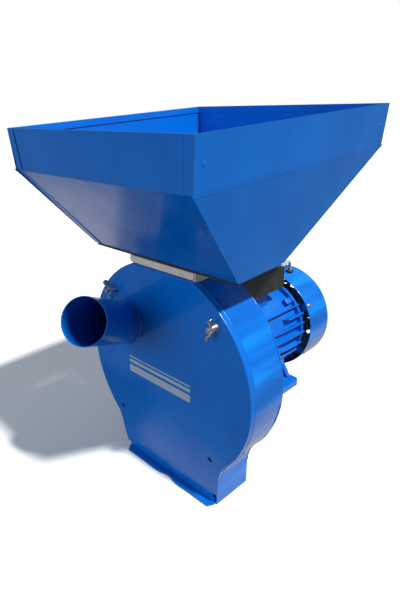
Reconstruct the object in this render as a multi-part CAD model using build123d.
from build123d import *
from math import acos, atan2, cos, degrees, pi, radians, sin, sqrt, tan
import os

# Hammer mill for grain, with a hopper above a round chamber and a motor behind it.
# Frame: +Z up, +Y from the front cover towards the motor, +X to the right.
# The origin is in the bottom plane of the chute, under the shaft, at mid chamber.

# ---------------------------------------------------------------- chamber
AXIS_Z = 206.0            # shaft height above the chute's bottom plane
CHAMBER_R = 183.0         # outside of the rolled wall
CHAMBER_TOP = 170.6       # flat top above the shaft
WALL = 3.0
CHAMBER_FRONT = -39.2
CHAMBER_REAR = 39.5
RIGHT_LEAVE_DEG = -39.7   # where the chute leaves the round, right side
RIGHT_BLEND_R = 65.0
LEFT_LEAVE_DEG = 225.0    # the same, left side
LEFT_BLEND_R = 60.0
LEFT_SLOPE_DEG = 20.1     # the left chute wall leans in from vertical
REAR_PLATE_T = 5.0
REAR_PLATE_FACE = 38.5    # motor side of the rear plate

# ---------------------------------------------------------------- cover
COVER_T = 2.0
COVER_BACK = -39.5
COVER_RIM_DEPTH = 4.0
COVER_RIM_GAP = 0.4
COVER_RIM_T = 1.8
STUD_X = 115.5
STUD_RISE = 117.0         # stud height above the shaft
STUD_R = 4.0
STUD_FRONT = -61.0
SLOT_X = 110.0
SLOT_DROP = 121.5         # slot depth below the shaft
TUBE_X = -93.1
TUBE_RISE = 58.4
TUBE_SIDE_DEG = 28.9      # swing of the inlet tube towards +X
TUBE_UP_DEG = 24.1        # rise of the inlet tube
TUBE_LENGTH = 163.0
TUBE_R = 37.3
TUBE_T = 1.5

# ---------------------------------------------------------------- base
FLANGE_T = 2.0
FLANGE_REACH = 16.0
FLANGE_LEG = 40.0

# ---------------------------------------------------------------- throat and gate
THROAT_HALF_X = 70.0
THROAT_FRONT = -35.0
THROAT_REAR = 25.0
THROAT_T = 2.0
PORT_HALF_X = 57.0        # half width of the way through, clear of the gate guides
PORT_FRONT = -27.0
PORT_REAR = 18.0
GATE_Z = 386.0
GATE_T = 2.0
GATE_LIP_BOTTOM = 380.0
GATE_LIP_TOP = 391.0
GATE_CLEAR = 0.35

# ---------------------------------------------------------------- hopper, in its own frame
HOPPER_TILT = 3.0         # the hopper stands nose down on its throat
HOPPER_Y = -164.4         # front rim edge
HOPPER_Z = 590.2
RIM_HALF_X = 190.0
RIM_LENGTH = 415.7
BAND_DEPTH = 60.0
BAND_HALF_X = 184.8
BAND_FRONT = 2.0
BAND_REAR = 413.9
FLOOR_DEPTH = 197.0
FLOOR_HALF_X = 156.3
FLOOR_FRONT = 109.5
FLOOR_REAR = 209.9
SHEET = 1.5
HEM = 11.0
LAP = 15.0                # width of the side panels' folded joining laps
LAP_T = 1.2
TRAY_LIP = 5.0

# ---------------------------------------------------------------- rotor
SHAFT_R = 14.0
HUB_R = 28.0
DISC_R = 96.0
DISC_T = 5.0
DISC_GAP = 34.0           # clear space between the two discs
PIN_R = 6.0
PIN_RADIUS = 80.0
HAMMER_TIP = 150.0
HAMMER_HALF_W = 19.0
HAMMER_T = 6.0
HAMMER_OFFSETS = (-9.0, 3.0, -3.0, 9.0)
SPACER_R = 9.5
RUN_FIT = 0.06            # radial clearance of a running fit

# ---------------------------------------------------------------- screen
SCREEN_R = 160.0
SCREEN_T = 1.5
SCREEN_FROM = 204.0
SCREEN_TO = 336.0
SCREEN_HOLE_R = 2.5
RAIL_T = 6.0

# ---------------------------------------------------------------- motor
BARREL_R = 76.0
BARREL_BORE = 70.0
BARREL_FRONT = 52.0
BARREL_REAR = 256.0
FIN_R = 88.0
FIN_T = 3.0
FIN_FRONT = 58.0
FIN_REAR = 260.0
FIN_STEP = 12.0
FOOT_DROP = 100.0         # foot face below the shaft
FOOT_T = 12.0
FOOT_OUTER = 102.0
FOOT_INNER = 58.0
FOOT_FRONT = 60.0
FOOT_REAR = 230.0
FOOT_HOLE_X = 80.0
FOOT_HOLE_FRONT = 78.0
FOOT_HOLE_REAR = 218.0
FOOT_HOLE_R = 6.0
FAN_COVER_R = 100.0
FAN_COVER_T = 1.5
FAN_COVER_FRONT = 258.0
FAN_COVER_REAR = 332.0
COVER_SCREW_Y = 266.0
COVER_SCREW_ANGLES = (30.0, 150.0, 210.0, 330.0)
MOTOR_BOLT_CIRCLE = 65.0
BEARING_R = 31.0
BEARING_W = 16.0
FRONT_BEARING_Y = 50.0
REAR_BEARING_Y = 246.0
BEARING_BORE = 15.0

# ---------------------------------------------------------------- electrical box
BOX_HALF_X = 60.0
BOX_FRONT = 72.0
BOX_REAR = 216.0
BOX_BOTTOM = 301.0
BOX_TOP = 337.0
BOX_WALL = 2.5
LID_T = 3.0
SWITCH_Y = 120.0
SWITCH_Z = 321.0
GLAND_X = 34.0
GLAND_Z = 326.0
LEAD_R = 3.0


# ---------------------------------------------------------------- helpers
def block(x0, x1, y0, y1, z0, z1):
    """Box between two corners."""
    centre = Pos((x0 + x1) / 2, (y0 + y1) / 2, (z0 + z1) / 2)
    return centre * Box(x1 - x0, y1 - y0, z1 - z0)


def rod(radius, y0, y1, x=0.0, z=AXIS_Z):
    """Cylinder along Y."""
    return Pos(x, (y0 + y1) / 2, z) * Rot(90, 0, 0) * Cylinder(radius, y1 - y0)


def ring(outer, inner, y0, y1, x=0.0, z=AXIS_Z):
    """Tube along Y."""
    return rod(outer, y0, y1, x, z) - rod(inner, y0 - 1, y1 + 1, x, z)


def around_axis(shape, angle):
    """Turn a shape about the shaft, anticlockwise seen from the front."""
    return Pos(0, 0, AXIS_Z) * Rot(0, -angle, 0) * Pos(0, 0, -AXIS_Z) * shape


def polar(radius, angle):
    """Point (x, rise above the shaft) in a plane across the shaft."""
    return (radius * cos(radians(angle)), radius * sin(radians(angle)))


def across(face, y0, y1):
    """Extrude a face drawn as (x, rise above the shaft) between two Y planes."""
    solid = extrude(Plane.XZ * face, amount=y1 - y0)
    return Pos(0, y1, AXIS_Z) * solid


def bar_of_plate(points, y0, y1):
    """Plate across the shaft from corners given as (x, rise above the shaft)."""
    return across(make_face(Polyline(*points, close=True)), y0, y1)


# ---------------------------------------------------------------- chamber outline
def chamber_outline(below=20.0):
    """The round body with its flat top and its chute, run on below the bottom plane."""
    top_x = sqrt(CHAMBER_R**2 - CHAMBER_TOP**2)
    top_deg = degrees(acos(top_x / CHAMBER_R))
    bottom = -AXIS_Z - below

    right_start = polar(CHAMBER_R, RIGHT_LEAVE_DEG)
    right_centre = polar(CHAMBER_R + RIGHT_BLEND_R, RIGHT_LEAVE_DEG)
    right_end = (right_centre[0] - RIGHT_BLEND_R, right_centre[1])
    right_mid_deg = (180 + RIGHT_LEAVE_DEG + 180) / 2
    right_mid = tuple(c + d for c, d in zip(right_centre, polar(RIGHT_BLEND_R, right_mid_deg)))

    left_start = polar(CHAMBER_R, LEFT_LEAVE_DEG)
    left_centre = polar(CHAMBER_R + LEFT_BLEND_R, LEFT_LEAVE_DEG)
    left_mid_deg = (LEFT_LEAVE_DEG - 180 + LEFT_SLOPE_DEG) / 2
    left_mid = tuple(c + d for c, d in zip(left_centre, polar(LEFT_BLEND_R, left_mid_deg)))
    left_end = tuple(c + d for c, d in zip(left_centre, polar(LEFT_BLEND_R, LEFT_SLOPE_DEG)))
    lean = sin(radians(LEFT_SLOPE_DEG)) / cos(radians(LEFT_SLOPE_DEG))
    left_foot = (left_end[0] + (left_end[1] - bottom) * lean, bottom)

    edges = [
        Line((-top_x, CHAMBER_TOP), (top_x, CHAMBER_TOP)),
        ThreePointArc((top_x, CHAMBER_TOP), polar(CHAMBER_R, 10), right_start),
        ThreePointArc(right_start, right_mid, right_end),
        Line(right_end, (right_end[0], bottom)),
        Line((right_end[0], bottom), left_foot),
        Line(left_foot, left_end),
        ThreePointArc(left_end, left_mid, left_start),
        ThreePointArc(left_start, polar(CHAMBER_R, 180 - 10), (-top_x, CHAMBER_TOP)),
    ]
    return make_face(edges)


def above_base(shape):
    """Cut away everything below the bottom plane."""
    return shape - block(-400, 400, -400, 400, -100, 0)


OUTLINE = chamber_outline()
INNER_OUTLINE = offset(OUTLINE, amount=-WALL)


# ---------------------------------------------------------------- chamber parts
def throat_port(z0, z1):
    return block(-PORT_HALF_X, PORT_HALF_X, PORT_FRONT, PORT_REAR, z0, z1)


def chamber_wrapper():
    wall = across(OUTLINE, CHAMBER_FRONT, CHAMBER_REAR)
    wall -= across(INNER_OUTLINE, CHAMBER_FRONT - 1, CHAMBER_REAR + 1)
    top = AXIS_Z + CHAMBER_TOP
    return above_base(wall) - throat_port(top - 10, top + 10)


def chamber_rear_plate():
    plate = across(INNER_OUTLINE, REAR_PLATE_FACE - REAR_PLATE_T, REAR_PLATE_FACE)
    plate = above_base(plate) - rod(BEARING_R + 4, 0, 60)
    for angle in (45, 135, 225, 315):
        x, rise = polar(MOTOR_BOLT_CIRCLE, angle)
        plate -= rod(4.2, 0, 60, x, AXIS_Z + rise)
    return plate


def base_front_flange():
    """Folded angle under the cover: an upright leg inside and a lip turned forwards."""
    leg = across(INNER_OUTLINE, CHAMBER_FRONT, CHAMBER_FRONT + FLANGE_T)
    leg = above_base(leg) - block(-400, 400, -100, 0, FLANGE_LEG, 600)
    front = CHAMBER_FRONT - FLANGE_REACH
    corners = [(-92.5, CHAMBER_FRONT), (123.5, CHAMBER_FRONT), (118.5, front), (-84.5, front)]
    lip = extrude(make_face(Polyline(*corners, close=True)), amount=FLANGE_T)
    return leg + lip


def base_rear_flange():
    """Folded angle behind the rear plate."""
    leg = block(-88, 118, REAR_PLATE_FACE, REAR_PLATE_FACE + FLANGE_T, 0, 30)
    lip = block(-88, 118, REAR_PLATE_FACE, REAR_PLATE_FACE + FLANGE_REACH, 0, FLANGE_T)
    return leg + lip


def stud_places():
    return [(-STUD_X, AXIS_Z + STUD_RISE), (STUD_X, AXIS_Z + STUD_RISE)]


def cover_studs():
    """Two long studs welded to the rear plate, outside the hammers' circle."""
    back = REAR_PLATE_FACE - REAR_PLATE_T
    return [chamfer(rod(STUD_R, STUD_FRONT, back, x, z).edges().group_by(Axis.Y)[0], 0.8)
            for x, z in stud_places()]


def arc_bar(inner, outer, deg0, deg1, y0, y1):
    """Curved bar about the shaft between two angles."""
    points = [polar(outer, deg0), polar(outer, (deg0 + deg1) / 2), polar(outer, deg1),
              polar(inner, deg1), polar(inner, (deg0 + deg1) / 2), polar(inner, deg0)]
    edges = [ThreePointArc(*points[:3]), Line(points[2], points[3]),
             ThreePointArc(*points[3:]), Line(points[5], points[0])]
    return across(make_face(edges), y0, y1)


def screen():
    """Half round sieve sheet under the hammers."""
    sheet = arc_bar(SCREEN_R - SCREEN_T, SCREEN_R, SCREEN_FROM, SCREEN_TO, -37.5, 33.0)
    drill = Pos(SCREEN_R, 0, AXIS_Z) * Rot(0, 90, 0) * Cylinder(SCREEN_HOLE_R, 12)
    holes = []
    for row in range(6):
        for step in range(21):
            angle = SCREEN_FROM + 6 + step * 6 + (row % 2) * 1.5
            holes.append(Pos(0, -28 + row * 10.5, 0) * around_axis(drill, angle))
    return sheet - holes


def screen_rails():
    """Rolled guides outside the sieve, with tabs to the chamber wall."""
    back = REAR_PLATE_FACE - REAR_PLATE_T
    rear = arc_bar(SCREEN_R, SCREEN_R + RAIL_T, SCREEN_FROM, SCREEN_TO, back - 5, back)
    front = arc_bar(SCREEN_R, SCREEN_R + RAIL_T, SCREEN_FROM, SCREEN_TO, -37, -32)
    rim = CHAMBER_R - WALL - 0.02
    for deg in (SCREEN_FROM + 2, SCREEN_TO - 12):
        front += arc_bar(SCREEN_R + 2, rim, deg, deg + 9, -37, -32)
    return [rear, front]


# ---------------------------------------------------------------- throat and gate
def hopper_place(shape):
    return Pos(0, HOPPER_Y, HOPPER_Z) * Rot(HOPPER_TILT, 0, 0) * shape


def below_hopper_floor():
    """Everything under the tilted tray of the hopper."""
    return hopper_place(block(-300, 300, -300, 700, -FLOOR_DEPTH - SHEET - 300, -FLOOR_DEPTH - SHEET))


def throat_collar():
    """Galvanised frame between the chamber and the hopper, open in front for the gate."""
    low = AXIS_Z + CHAMBER_TOP
    high = 420.0
    frame = block(-THROAT_HALF_X, THROAT_HALF_X, THROAT_FRONT, THROAT_REAR, low, high)
    frame -= block(-THROAT_HALF_X + THROAT_T, THROAT_HALF_X - THROAT_T,
                   THROAT_FRONT + THROAT_T, THROAT_REAR - THROAT_T, low - 1, high + 1)
    slot_x = THROAT_HALF_X - THROAT_T
    frame -= block(-slot_x, slot_x, THROAT_FRONT - 1, THROAT_FRONT + THROAT_T + 1,
                   GATE_Z - GATE_CLEAR, GATE_Z + GATE_T + GATE_CLEAR)
    return frame & below_hopper_floor()


def gate_rails():
    """Two slotted guides along the sides of the throat."""
    inner = PORT_HALF_X + 2
    outer = THROAT_HALF_X - THROAT_T
    front = THROAT_FRONT + THROAT_T
    rear = THROAT_REAR - THROAT_T
    rails = []
    for side in (-1, 1):
        x0, x1 = sorted((side * inner, side * outer))
        guide = block(x0, x1, front, rear, AXIS_Z + CHAMBER_TOP, GATE_Z + GATE_T + 6)
        guide -= block(-outer + 0.6, outer - 0.6, front - 1, rear + 1,
                       GATE_Z - GATE_CLEAR, GATE_Z + GATE_T + GATE_CLEAR)
        rails.append(guide)
    return rails


def feed_gate():
    """Sliding plate with the pull lip folded at its front."""
    half = THROAT_HALF_X - THROAT_T - 1.2
    lip_y = THROAT_FRONT - GATE_CLEAR
    plate = block(-half, half, lip_y, THROAT_REAR - THROAT_T - 1.0, GATE_Z, GATE_Z + GATE_T)
    lip = block(-74, 68, lip_y - GATE_T, lip_y, GATE_LIP_BOTTOM, GATE_LIP_TOP)
    corners = lip.edges().filter_by(Axis.Y).group_by(Axis.Z)[0]
    return plate + fillet(corners, 4.0)


# ---------------------------------------------------------------- hopper
def hopper_corners():
    """Rim, band and floor corners as (half x, front y, rear y, z)."""
    return [
        (RIM_HALF_X, 0.0, RIM_LENGTH, 0.0),
        (BAND_HALF_X, BAND_FRONT, BAND_REAR, -BAND_DEPTH),
        (FLOOR_HALF_X, FLOOR_FRONT, FLOOR_REAR, -FLOOR_DEPTH),
    ]


def between(high, low, share):
    """Section of the hopper part of the way from one level down to the next."""
    return tuple(a + (b - a) * share for a, b in zip(high, low))


def cross_wall(high, low, front):
    """Outline of the front or the rear wall between two levels, fitting between the side panels."""
    pick = 1 if front else 2
    high_half = high[0] - SHEET * 1.08
    low_half = low[0] - SHEET * 1.08
    return [(-high_half, high[pick], high[3]), (high_half, high[pick], high[3]),
            (low_half, low[pick], low[3]), (-low_half, low[pick], low[3])]


def side_wall(high, low, side):
    """Outline of the left (-1) or the right (1) wall, run on past the outside of its laps."""
    proud = LAP_T + 0.5
    return [(side * high[0], high[1] - proud, high[3]), (side * high[0], high[2] + proud, high[3]),
            (side * low[0], low[2] + proud, low[3]), (side * low[0], low[1] - proud, low[3])]


def inward(points, thickness):
    """Plate laid inwards from an outline on the hopper's outer face, or outwards if negative."""
    face = Face(Wire.make_polygon([Vector(*p) for p in points], close=True))
    toward = Vector(0, RIM_LENGTH / 2, -BAND_DEPTH / 2) - face.center()
    normal = face.normal_at()
    if normal.dot(toward) * thickness < 0:
        normal = -normal
    return extrude(face, amount=abs(thickness), dir=normal)


def cross_panel(front):
    """Front or rear panel: upright band, sloped lower part and a hem along the rim."""
    rim, band, floor = hopper_corners()
    hem_low = between(rim, band, HEM / BAND_DEPTH)
    panel = inward(cross_wall(rim, band, front), SHEET)
    panel += inward(cross_wall(band, floor, front), SHEET)
    panel += inward(cross_wall(rim, hem_low, front), 2 * SHEET)
    return panel


def lap(high, low, side, front):
    """Folded strip of a side panel that lies on the front or rear panel."""
    pick = 1 if front else 2
    start = SHEET / 2
    points = [(side * (high[0] - start), high[pick], high[3]),
              (side * (high[0] - LAP), high[pick], high[3]),
              (side * (low[0] - LAP), low[pick], low[3]),
              (side * (low[0] - start), low[pick], low[3])]
    return inward(points, -LAP_T)


def side_panel(side):
    """Side panel with its hem and its four folded laps."""
    rim, band, floor = hopper_corners()
    hem_low = between(rim, band, HEM / BAND_DEPTH)
    hem_ends = [(half, front + 2, rear - 2, z) for half, front, rear, z in (rim, hem_low)]
    panel = inward(side_wall(rim, band, side), SHEET)
    panel += inward(side_wall(band, floor, side), SHEET)
    panel += inward(hem_wall(*hem_ends, side), 2 * SHEET)
    lap_top = between(rim, band, 0.03)
    lap_end = between(band, floor, 0.99)
    for front in (True, False):
        panel += lap(lap_top, between(rim, band, 1.03), side, front)
        panel += lap(between(band, floor, -0.01), lap_end, side, front)
    return hopper_place(panel)


def hem_wall(high, low, side):
    """Outline of a side hem between the front and rear panels' hems."""
    inner = 2 * SHEET
    return [(side * high[0], high[1] + inner, high[3]), (side * high[0], high[2] - inner, high[3]),
            (side * low[0], low[2] - inner, low[3]), (side * low[0], low[1] + inner, low[3])]


def hopper_floor():
    """Shallow tray under the panels, with its edge turned down."""
    inset = 2.0
    half = FLOOR_HALF_X - inset
    front = FLOOR_FRONT + inset
    rear = FLOOR_REAR - inset
    top = -FLOOR_DEPTH
    tray = block(-half, half, front, rear, top - SHEET - TRAY_LIP, top)
    tray -= block(-half + SHEET, half - SHEET, front + SHEET, rear - SHEET,
                  top - SHEET - TRAY_LIP - 1, top - SHEET)
    return hopper_place(tray) - throat_port(370, 430)


def hopper_rivets():
    """Low domed fasteners beside the corner joints of the side panels."""
    rim, band, floor = hopper_corners()
    rows = [(rim, band, 0.5), (band, floor, 0.16), (band, floor, 0.52), (band, floor, 0.86)]
    dome = Cone(3.4, 1.6, 1.4, align=(Align.CENTER, Align.CENTER, Align.MIN))
    heads = []
    for side in (-1, 1):
        for high, low, share in rows:
            half, front, rear, z = between(high, low, share)
            lean = degrees(atan2(high[0] - low[0], high[3] - low[3]))
            for y in (front + 13, rear - 13):
                heads.append(hopper_place(Pos(side * half, y, z) * Rot(0, side * (90 + lean), 0) * dome))
    return heads


# ---------------------------------------------------------------- front cover
def tube_place(shape):
    """Lay a shape drawn along +Z on the inlet tube's axis, its foot on the cover."""
    turn = Rot(0, 0, TUBE_SIDE_DEG) * Rot(90 - TUBE_UP_DEG, 0, 0)
    return Pos(TUBE_X, COVER_BACK - COVER_T, AXIS_Z + TUBE_RISE) * turn * shape


def cover_slot(side):
    """Slanted slot through the cover."""
    slot = extrude(SlotOverall(9.0, 5.0), amount=20, both=True)
    lean = Rot(0, 45, 0) * Rot(90, 0, 0)
    return Pos(side * SLOT_X, COVER_BACK, AXIS_Z - SLOT_DROP) * lean * slot


def front_cover():
    """Flat lid with a rim folded back over the chamber wall."""
    inner = offset(OUTLINE, amount=COVER_RIM_GAP)
    outer = offset(OUTLINE, amount=COVER_RIM_GAP + COVER_RIM_T)
    front = COVER_BACK - COVER_T
    lid = across(outer, front, COVER_BACK + COVER_RIM_DEPTH)
    lid -= across(inner, COVER_BACK, COVER_BACK + COVER_RIM_DEPTH + 1)
    lid = fillet(lid.faces().sort_by(Axis.Y)[0].edges(), 1.6)
    foot = [(-200, -194), (-94, -197), (-89, -203), (90, -188), (200, -180), (200, -300), (-200, -300)]
    lid -= bar_of_plate(foot, front - 5, COVER_BACK + 20)
    lid -= block(-300, 300, COVER_BACK, 0, -50, 45)
    for x, z in stud_places():
        lid -= rod(STUD_R + 0.6, -60, 0, x, z)
    for side in (-1, 1):
        lid -= cover_slot(side)
    return lid - tube_place(Cylinder(TUBE_R - TUBE_T, 400))


def feed_tube():
    """Slanted inlet tube, cut to the cover's face."""
    tube = Cylinder(TUBE_R, 2 * TUBE_LENGTH) - Cylinder(TUBE_R - TUBE_T, 2 * TUBE_LENGTH + 2)
    front = COVER_BACK - COVER_T
    return tube_place(tube) & block(-400, 400, front - 400, front, 0, 600)


def wing_nut(x, z, turn):
    """Wing nut along Y: a tapered hub and two upright wings with round ears."""
    seat = COVER_BACK - COVER_T - 1.6
    hub = Cone(7.5, 5.5, 9.0, align=(Align.CENTER, Align.CENTER, Align.MIN))
    profile = make_face(Polyline((3.5, 0.5), (9.0, 2.5), (17.5, 11.0), (11.5, 15.5), (3.5, 8.0), close=True))
    profile += Pos(14.2, 13.0) * Circle(4.2)
    wing = extrude(Plane.XZ * profile, amount=1.6, both=True)
    nut = hub + wing + Rot(0, 0, 180) * wing
    nut -= Cylinder(STUD_R + RUN_FIT, 60)
    return Pos(x, seat, z) * Rot(0, turn, 0) * Rot(90, 0, 0) * nut


def wing_washers():
    seat = COVER_BACK - COVER_T
    return [ring(9.0, STUD_R + 0.3, seat - 1.3, seat, x, z) for x, z in stud_places()]


# ---------------------------------------------------------------- rotor
def disc(y0, y1):
    plate = ring(DISC_R, SHAFT_R, y0, y1)
    for index in range(4):
        x, rise = polar(PIN_RADIUS, index * 90)
        plate -= rod(PIN_R, y0 - 1, y1 + 1, x, AXIS_Z + rise)
    return plate


def rotor_hub():
    half = DISC_GAP / 2
    return ring(HUB_R, SHAFT_R, -half, half) - key_block(-half - 1, half + 1)


def hammer_pins():
    reach = DISC_GAP / 2 + DISC_T + 4
    pins = []
    for index in range(4):
        x, rise = polar(PIN_RADIUS, index * 90)
        pins.append(rod(PIN_R, -reach, reach, x, AXIS_Z + rise))
    return pins


def pin_clips():
    """Retaining rings on both ends of the four pins."""
    start = DISC_GAP / 2 + DISC_T
    clips = []
    for index in range(4):
        x, rise = polar(PIN_RADIUS, index * 90)
        for y in (-start - 1.2, start):
            clips.append(ring(PIN_R + 2.5, PIN_R, y, y + 1.2, x, AXIS_Z + rise))
    return clips


def disc_spacers():
    """Sleeves on the pins that keep each hammer in its own track."""
    half = DISC_GAP / 2
    sleeves = []
    for index, middle in enumerate(HAMMER_OFFSETS):
        x, rise = polar(PIN_RADIUS, index * 90)
        low = middle - HAMMER_T / 2 - 0.4
        high = middle + HAMMER_T / 2 + 0.4
        sleeves.append(ring(SPACER_R, PIN_R, -half, low, x, AXIS_Z + rise))
        sleeves.append(ring(SPACER_R, PIN_R, high, half, x, AXIS_Z + rise))
    return sleeves


def hammer(index):
    """Flat swinging beater with one hole, at rest pointing straight out."""
    middle = HAMMER_OFFSETS[index]
    y0 = middle - HAMMER_T / 2
    y1 = middle + HAMMER_T / 2
    inner = PIN_RADIUS - 16
    plate = block(inner, HAMMER_TIP, y0, y1, AXIS_Z - HAMMER_HALF_W, AXIS_Z + HAMMER_HALF_W)
    plate = fillet(plate.edges().filter_by(Axis.Y).group_by(Axis.X)[0], 12.0)
    plate = chamfer(plate.edges().filter_by(Axis.Y).group_by(Axis.X)[-1], 2.0)
    plate -= rod(PIN_R + RUN_FIT, y0 - 1, y1 + 1, PIN_RADIUS)
    return around_axis(plate, index * 90)


def motor_shaft():
    shaft = rod(SHAFT_R, -42.0 + 16.0, 318.0)
    shaft += rod(10.0, -36.0, -20.0)
    shaft += rod(BEARING_BORE - RUN_FIT, FRONT_BEARING_Y - 2, REAR_BEARING_Y + BEARING_W + 2)
    shaft += rod(20.0, FRONT_BEARING_Y + BEARING_W + 1, REAR_BEARING_Y - 1)
    return shaft - key_block(-16, 16)


def key_block(y0, y1):
    return block(-4, 4, y0, y1, AXIS_Z + SHAFT_R - 4, AXIS_Z + SHAFT_R + 3)


def shaft_key():
    return key_block(-16, 16)


def shaft_washer():
    return ring(22.0, 10.0, -DISC_GAP / 2 - DISC_T - 4.0 - 2.5, -DISC_GAP / 2 - DISC_T - 4.0)


def shaft_collar():
    """Ring between the front disc and the end of the thick part of the shaft."""
    return ring(22.0, SHAFT_R, -DISC_GAP / 2 - DISC_T - 4.0, -DISC_GAP / 2 - DISC_T)


def shaft_nut():
    front = -DISC_GAP / 2 - DISC_T - 4.0 - 2.5
    hexagon = extrude(Plane.XZ * RegularPolygon(15.0, 6, major_radius=False), amount=7)
    nut = Pos(0, front, AXIS_Z) * hexagon
    return nut - rod(10.0, -60, 0)


def rotor_core():
    return ring(44.0, 20.0, 95, 205)


def cooling_fan():
    """Hub, back plate and eight straight blades."""
    fan = ring(24.0, SHAFT_R, 274, 312) + ring(80.0, 20.0, 274, 277)
    blade = block(22, 86, 276, 306, AXIS_Z - 1.2, AXIS_Z + 1.2)
    for index in range(8):
        fan += around_axis(blade, index * 45)
    return fan


# ---------------------------------------------------------------- motor
def fin_angles():
    """Fins fill both flanks, leaving a smooth panel under the box and the feet's webs free."""
    right = [-48 + index * FIN_STEP for index in range(8)]
    left = [180 - angle for angle in right]
    bottom = [270 - 24, 270 - 12, 270, 270 + 12, 270 + 24]
    return right + left + bottom


def foot_pair(side):
    """Foot rail with two bolt holes and its two upright webs."""
    low = AXIS_Z - FOOT_DROP
    x0, x1 = sorted((side * FOOT_INNER, side * FOOT_OUTER))
    rail = block(x0, x1, FOOT_FRONT, FOOT_REAR, low, low + FOOT_T)
    outer_edges = rail.edges().filter_by(Axis.Z).group_by(Axis.X)[-1 if side > 0 else 0]
    rail = fillet(outer_edges, 10.0)
    for y in (FOOT_FRONT + 4, FOOT_REAR - 14):
        corners = [(side * 40, -70), (side * 66, -44), (side * 92, -FOOT_DROP + FOOT_T),
                   (side * 40, -FOOT_DROP + FOOT_T)]
        rail += bar_of_plate(corners, y, y + 9)
    rail += block(*sorted((side * 58, side * 68)), FOOT_FRONT + 4, FOOT_REAR - 6, low + FOOT_T - 1,
                  AXIS_Z - 50)
    for y in (FOOT_HOLE_FRONT, FOOT_HOLE_REAR):
        hole = Pos(side * FOOT_HOLE_X, y, low) * Cylinder(FOOT_HOLE_R, 60)
        rail -= hole
    return rail


def motor_housing():
    """Cast frame: finned barrel, box pad and lugs."""
    body = rod(BARREL_R, BARREL_FRONT, BARREL_REAR)
    fin = block(BARREL_R - 2, FIN_R, FIN_FRONT, FIN_REAR, AXIS_Z - FIN_T / 2, AXIS_Z + FIN_T / 2)
    for angle in fin_angles():
        body += around_axis(fin, angle)
    pad_z = AXIS_Z + BARREL_R
    body += block(-44, 44, 84, 196, pad_z - 18, BOX_BOTTOM)
    short = block(BARREL_R - 2, FIN_R + 1, 196, FIN_REAR - 2, AXIS_Z - 1.5, AXIS_Z + 1.5)
    for angle in (27, 153):
        body += around_axis(short, angle + 3)
    lug = block(BARREL_R - 3, BARREL_R + 9, 188, 204, AXIS_Z - 5, AXIS_Z + 5)
    for angle in (50, 130):
        body += around_axis(lug, angle)
    return body - rod(BARREL_BORE, BARREL_FRONT - 5, BARREL_REAR) - rod(BARREL_R, BARREL_REAR, FIN_REAR + 5)


def motor_foot_rails():
    """The two bolted-on feet, each fitted to the barrel and its fins."""
    housing = motor_housing()
    return [max((foot_pair(side) - housing).solids(), key=lambda s: s.volume) for side in (-1, 1)]


def drive_end_shield():
    """Flange that joins the motor to the rear plate and holds the front bearing."""
    shield = rod(84.0, REAR_PLATE_FACE, BARREL_FRONT)
    shield += rod(BARREL_BORE, BARREL_FRONT, BARREL_FRONT + 6)
    shield += rod(BEARING_R + 6, BARREL_FRONT, FRONT_BEARING_Y + BEARING_W + 2)
    shield -= rod(BEARING_R, FRONT_BEARING_Y, 120)
    shield -= rod(23.0, 0, 120)
    for angle in (45, 135, 225, 315):
        x, rise = polar(MOTOR_BOLT_CIRCLE, angle)
        shield -= rod(4.0, REAR_PLATE_FACE - 1, BARREL_FRONT + 1, x, AXIS_Z + rise)
    return shield


def fan_end_shield():
    """Rear cover of the motor with the bearing seat and four lugs for the fan cover."""
    shield = rod(BARREL_R, BARREL_REAR, 266.0) + rod(BARREL_BORE, BARREL_REAR - 10, BARREL_REAR)
    lug = block(60, FAN_COVER_R - FAN_COVER_T, COVER_SCREW_Y - 5, COVER_SCREW_Y + 5,
                AXIS_Z - 7, AXIS_Z + 7)
    lug &= rod(FAN_COVER_R - FAN_COVER_T, COVER_SCREW_Y - 5, COVER_SCREW_Y + 5)
    for angle in COVER_SCREW_ANGLES:
        shield += around_axis(lug, angle)
        shield -= around_axis(Pos(90, COVER_SCREW_Y, AXIS_Z) * Rot(0, 90, 0) * Cylinder(2.5, 24), angle)
    shield -= rod(BEARING_R, 0, REAR_BEARING_Y + BEARING_W)
    return shield - rod(17.0, 200, 300)


def bearing(y0):
    """Ball bearing as its two races and eight balls."""
    y1 = y0 + BEARING_W
    middle = (BEARING_BORE + BEARING_R) / 2
    outer = ring(BEARING_R, middle + 3.0, y0, y1)
    inner = ring(middle - 3.0, BEARING_BORE, y0, y1)
    web = ring(middle + 3.0, middle - 3.0, y0 + 6, y1 - 6)
    return outer + inner + web


def shaft_seal():
    return ring(23.0, SHAFT_R + 0.3, REAR_PLATE_FACE + 1, REAR_PLATE_FACE + 8)


def stator_core():
    return ring(BARREL_BORE, 45.0, 95, 205)


def stator_windings():
    return [ring(66.0, 48.0, 73, 95), ring(66.0, 48.0, 205, 232)]


def motor_bolts():
    """Socket bolts that hold the motor to the rear plate, heads inside the chamber."""
    back = REAR_PLATE_FACE - REAR_PLATE_T
    bolts = []
    for angle in (45, 135, 225, 315):
        x, rise = polar(MOTOR_BOLT_CIRCLE, angle)
        head = rod(6.5, back - 5, back, x, AXIS_Z + rise)
        bolts.append(head + rod(4.0, back, BARREL_FRONT, x, AXIS_Z + rise))
    return bolts


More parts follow.
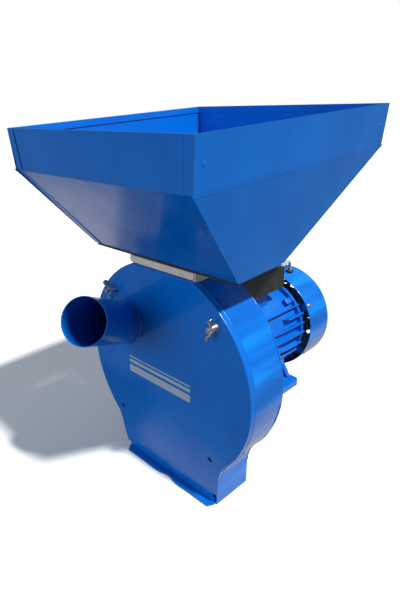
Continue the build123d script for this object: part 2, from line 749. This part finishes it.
def fan_cover():
    """Pressed cowl with a ring of air slots in its back."""
    cowl = rod(FAN_COVER_R, FAN_COVER_FRONT, FAN_COVER_REAR)
    cowl = fillet(cowl.edges().sort_by(Axis.Y)[-1], 13.0)
    room = rod(FAN_COVER_R - FAN_COVER_T, FAN_COVER_FRONT - 1, FAN_COVER_REAR - FAN_COVER_T)
    room = fillet(room.edges().sort_by(Axis.Y)[-1], 12.0)
    cowl -= room
    for inner, outer in ((24, 31), (37, 44), (50, 57), (63, 70)):
        for quarter in range(6):
            start = quarter * 60 + 5
            cowl -= arc_bar(inner, outer, start, start + 50, FAN_COVER_REAR - 5, FAN_COVER_REAR + 5)
    for angle in COVER_SCREW_ANGLES:
        cowl -= around_axis(Pos(FAN_COVER_R, COVER_SCREW_Y, AXIS_Z) * Rot(0, 90, 0) * Cylinder(2.7, 10), angle)
    x, y = lead_entry()
    return cowl - Pos(x, y, AXIS_Z + FAN_COVER_R) * Cylinder(5.5, 30)


def fan_cover_screws():
    screws = []
    for angle in COVER_SCREW_ANGLES:
        head = Pos(FAN_COVER_R, COVER_SCREW_Y, AXIS_Z) * Rot(0, 90, 0)
        head = head * Cone(4.8, 3.4, 3.0, align=(Align.CENTER, Align.CENTER, Align.MIN))
        stem = Pos(91, COVER_SCREW_Y, AXIS_Z) * Rot(0, 90, 0) * Cylinder(2.4, 20)
        screws.append(around_axis(head + stem, angle))
    return screws


# ---------------------------------------------------------------- electrical box
def control_box():
    """Open-topped black box on the motor's pad."""
    case = block(-BOX_HALF_X, BOX_HALF_X, BOX_FRONT, BOX_REAR, BOX_BOTTOM, BOX_TOP)
    case = fillet(case.edges().filter_by(Axis.Z), 3.0)
    case -= block(-BOX_HALF_X + BOX_WALL, BOX_HALF_X - BOX_WALL, BOX_FRONT + BOX_WALL,
                  BOX_REAR - BOX_WALL, BOX_BOTTOM + BOX_WALL, BOX_TOP + 1)
    for x in (-50, 50):
        for y in (BOX_FRONT + 10, BOX_REAR - 10):
            post = Pos(x, y, (BOX_BOTTOM + BOX_TOP) / 2) * Cylinder(5, BOX_TOP - BOX_BOTTOM)
            case += post - Pos(x, y, BOX_TOP) * Cylinder(1.8, 30)
    case -= rod(5.0, BOX_REAR - 8, BOX_REAR + 2, GLAND_X, GLAND_Z)
    case -= block(-BOX_HALF_X - 1, -BOX_HALF_X + 4, SWITCH_Y - 13, SWITCH_Y + 13,
                  SWITCH_Z - 9, SWITCH_Z + 9)
    return case


def control_box_lid():
    lid = block(-BOX_HALF_X, BOX_HALF_X, BOX_FRONT, BOX_REAR, BOX_TOP, BOX_TOP + LID_T)
    lid = fillet(lid.edges().filter_by(Axis.Z), 3.0)
    for x in (-50, 50):
        for y in (BOX_FRONT + 10, BOX_REAR - 10):
            lid -= Pos(x, y, BOX_TOP) * Cylinder(2.0, 30)
    return lid


def box_screws():
    screws = []
    for x in (-50, 50):
        for y in (BOX_FRONT + 10, BOX_REAR - 10):
            top = BOX_TOP + LID_T
            head = Pos(x, y, top) * Cone(3.6, 2.6, 2.0, align=(Align.CENTER, Align.CENTER, Align.MIN))
            stem = Pos(x, y, top - 7) * Cylinder(1.7, 14)
            screws.append(head + stem)
    return screws


def capacitor(x, radius, length):
    """Round capacitor lying along Y on the floor of the box."""
    z = BOX_BOTTOM + BOX_WALL + radius
    can = rod(radius, 110, 110 + length, x, z)
    return can + rod(2.0, 106, 110, x - 5, z) + rod(2.0, 106, 110, x + 5, z)


def switch_body():
    """Snap-in rocker switch in the left wall of the box."""
    x = -BOX_HALF_X
    frame = block(x - 2, x, SWITCH_Y - 15, SWITCH_Y + 15, SWITCH_Z - 11, SWITCH_Z + 11)
    frame += block(x, x + 16, SWITCH_Y - 12.6, SWITCH_Y + 12.6, SWITCH_Z - 8.6, SWITCH_Z + 8.6)
    frame -= block(x - 5, x + 9, SWITCH_Y - 11, SWITCH_Y + 11, SWITCH_Z - 7, SWITCH_Z + 7)
    return frame


def switch_rocker():
    """Rocker paddle that tips about an axis along Z."""
    x = -BOX_HALF_X
    points = [(x - 4.4, SWITCH_Y - 10.2), (x - 1.4, SWITCH_Y), (x - 4.4, SWITCH_Y + 10.2),
              (x - 0.5, SWITCH_Y + 10.2), (x + 5.5, SWITCH_Y + 3), (x + 5.5, SWITCH_Y - 3),
              (x - 0.5, SWITCH_Y - 10.2)]
    paddle = extrude(make_face(Polyline(*points, close=True)), amount=6.4, both=True)
    return Pos(0, 0, SWITCH_Z) * paddle


def cable_gland():
    """Screwed gland on the rear wall of the box."""
    x = GLAND_X
    nut = Pos(x, BOX_REAR + 6, GLAND_Z) * Rot(0, 15, 0) * extrude(
        Plane.XZ * RegularPolygon(8.0, 6, major_radius=False), amount=6)
    gland = nut + rod(6.0, BOX_REAR + 6, BOX_REAR + 12, x, GLAND_Z)
    gland += rod(5.0, BOX_REAR - BOX_WALL, BOX_REAR, x, GLAND_Z)
    return gland - rod(LEAD_R, BOX_REAR - 20, BOX_REAR + 40, x, GLAND_Z)


LEAD_ROUTE = [
    (34.0, 214.0, 326.0),
    (34.0, 244.0, 326.0),
    (29.0, 268.0, 331.0),
    (24.0, 290.0, 325.0),
    (24.0, 290.0, 299.0),
]


def lead_entry():
    """Where the lead goes down through the top of the fan cover."""
    return LEAD_ROUTE[-1][0], LEAD_ROUTE[-1][1]


def lead_grommet():
    """Rubber grommet in the top of the fan cover."""
    x, y = lead_entry()
    grommet = Pos(x, y, 300.5) * Cylinder(5.5, 9) + Pos(x, y, 306) * Cylinder(7.5, 2)
    return grommet - Pos(x, y, 300) * Cylinder(LEAD_R, 30)


def lead_radii():
    """Each bend as wide as its two runs allow."""
    points = [Vector(*p) for p in LEAD_ROUTE]
    radii = []
    for before, corner, after in zip(points, points[1:], points[2:]):
        run_in = corner - before
        run_out = after - corner
        half_turn = radians(run_in.get_angle(run_out)) / 2
        radii.append(0.45 * min(run_in.length, run_out.length) / tan(half_turn))
    return radii


def motor_lead():
    """Short lead from the gland over to the motor."""
    radii = lead_radii()
    print("lead bend radii:", [round(r, 1) for r in radii])
    path = FilletPolyline(*LEAD_ROUTE, radius=radii)
    lead = sweep(Plane(path @ 0, z_dir=path % 0) * Circle(LEAD_R), path=path)
    print("lead volume over section times length:", round(lead.volume / (pi * LEAD_R**2 * path.length), 3))
    return lead


# ---------------------------------------------------------------- write the nodes
def all_nodes():
    front_disc = -DISC_GAP / 2 - DISC_T
    rear_disc = DISC_GAP / 2
    nodes = {
        "chamber_wrapper": chamber_wrapper(),
        "chamber_rear_plate": chamber_rear_plate(),
        "base_front_flange": base_front_flange(),
        "base_rear_flange": base_rear_flange(),
        "cover_studs": cover_studs(),
        "screen": screen(),
        "screen_rails": screen_rails(),
        "throat_collar": throat_collar(),
        "gate_rails": gate_rails(),
        "feed_gate": feed_gate(),
        "hopper_front_panel": hopper_place(cross_panel(True)),
        "hopper_rear_panel": hopper_place(cross_panel(False)),
        "hopper_left_panel": side_panel(-1),
        "hopper_right_panel": side_panel(1),
        "hopper_floor": hopper_floor(),
        "hopper_rivets": hopper_rivets(),
        "front_cover": front_cover(),
        "feed_tube": feed_tube(),
        "wing_washers": wing_washers(),
        "wing_nut_left": wing_nut(*stud_places()[0], 62),
        "wing_nut_right": wing_nut(*stud_places()[1], 98),
        "motor_shaft": motor_shaft(),
        "shaft_key": shaft_key(),
        "shaft_collar": shaft_collar(),
        "shaft_washer": shaft_washer(),
        "shaft_nut": shaft_nut(),
        "rotor_core": rotor_core(),
        "cooling_fan": cooling_fan(),
        "rotor_hub": rotor_hub(),
        "disc_front": disc(front_disc, -rear_disc),
        "disc_rear": disc(rear_disc, rear_disc + DISC_T),
        "disc_spacers": disc_spacers(),
        "hammer_pins": hammer_pins(),
        "pin_clips": pin_clips(),
        "motor_housing": motor_housing(),
        "motor_foot_rails": motor_foot_rails(),
        "drive_end_shield": drive_end_shield(),
        "fan_end_shield": fan_end_shield(),
        "bearing_front": bearing(FRONT_BEARING_Y),
        "bearing_rear": bearing(REAR_BEARING_Y),
        "shaft_seal": shaft_seal(),
        "stator_core": stator_core(),
        "stator_windings": stator_windings(),
        "motor_bolts": motor_bolts(),
        "fan_cover": fan_cover(),
        "fan_cover_screws": fan_cover_screws(),
        "control_box": control_box(),
        "control_box_lid": control_box_lid(),
        "box_screws": box_screws(),
        "run_capacitor": capacitor(24, 15.0, 78),
        "start_capacitor": capacitor(-16, 13.0, 62),
        "switch_body": switch_body(),
        "switch_rocker": switch_rocker(),
        "cable_gland": cable_gland(),
        "motor_lead": motor_lead(),
        "lead_grommet": lead_grommet(),
    }
    for index in range(4):
        nodes[f"hammer_{index + 1}"] = hammer(index)
    return nodes


def as_one(shape):
    """A list of pieces becomes one compound of separate solids."""
    if isinstance(shape, (list, tuple)):
        return Compound(children=[Compound(s.wrapped) if isinstance(s, Part) else s for s in shape])
    return shape


os.makedirs("parts", exist_ok=True)
for name, shape in all_nodes().items():
    export_step(as_one(shape), f"parts/{name}.step")
print("nodes written:", len(os.listdir("parts")))
